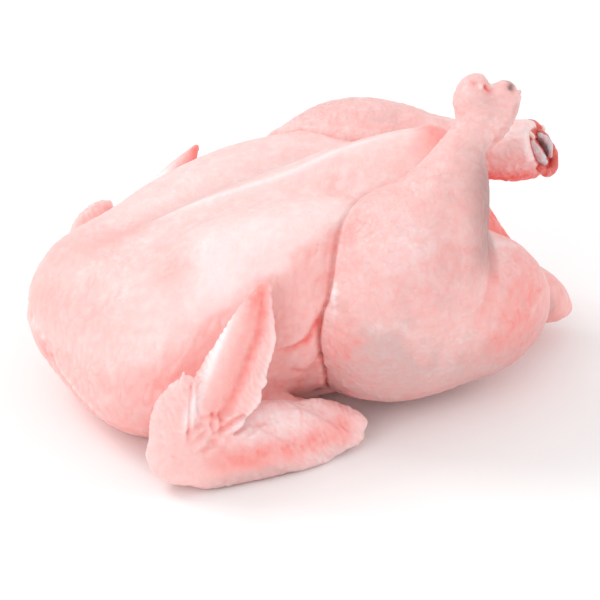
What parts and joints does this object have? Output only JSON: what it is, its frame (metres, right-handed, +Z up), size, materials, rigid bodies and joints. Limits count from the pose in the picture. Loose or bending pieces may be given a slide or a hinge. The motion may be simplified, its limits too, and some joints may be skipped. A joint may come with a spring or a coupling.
{
  "type": "whole raw chicken",
  "caption": "Whole raw chicken, dressed for the oven, lying on its back with its wings folded at its sides and its legs drawn up.",
  "frame": {"origin": "centre of the bounding box's bottom face, on the level that the back rests on", "axes": "+X from the neck to the tail, +Z up through the breast, -Y towards the side with the raised hock"},
  "size_m": [0.2502, 0.1952, 0.1446],
  "materials": {
    "skin": "moist satin raw skin, pale pink, with fine wrinkles and feather follicles"
  },
  "bodies": {
    "root": {"chicken": "skin"}
  },
  "joints": []
}
